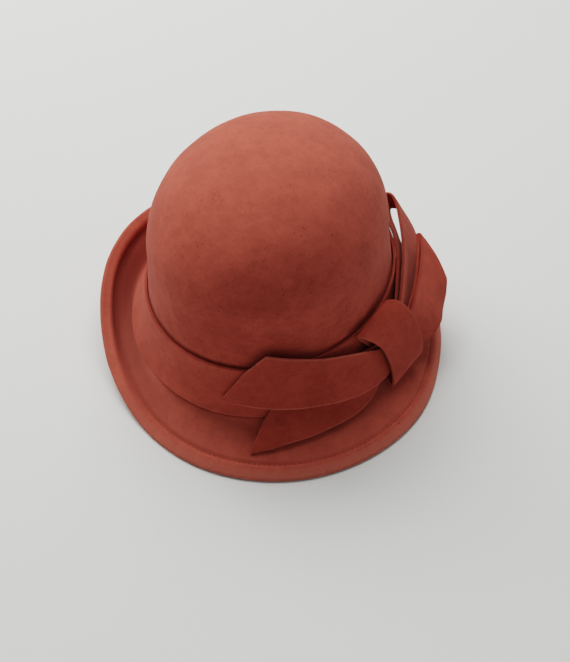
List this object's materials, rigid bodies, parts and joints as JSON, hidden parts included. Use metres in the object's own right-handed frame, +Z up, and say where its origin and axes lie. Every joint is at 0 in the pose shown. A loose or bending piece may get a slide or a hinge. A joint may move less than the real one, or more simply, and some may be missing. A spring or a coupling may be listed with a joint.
{
  "type": "cloche hat",
  "caption": "Blocked felt cloche hat with a deep domed crown, a brim turned up on one side, a felt band and a folded felt bow with two loops and two slanted tails.",
  "frame": {"origin": "middle of the hat's outline seen from above, on the surface that the brim rests on", "axes": "+Z up through the crown, -Y towards the wearer's front, +X towards the wearer's left"},
  "size_m": [0.2492, 0.285, 0.1622],
  "materials": {
    "body_felt": "matte wool felt, dusty terracotta, short nap",
    "band_felt": "matte wool felt strip, dusty terracotta",
    "bow_felt": "matte wool felt strip, dusty terracotta, paler cut edges"
  },
  "bodies": {
    "root": {"felt_body": "body_felt", "crown_band": "band_felt", "bow_knot": "bow_felt", "bow_loop_upper": "bow_felt", "bow_loop_lower": "bow_felt", "bow_tail_upper": "bow_felt", "bow_tail_lower": "bow_felt"}
  },
  "joints": []
}
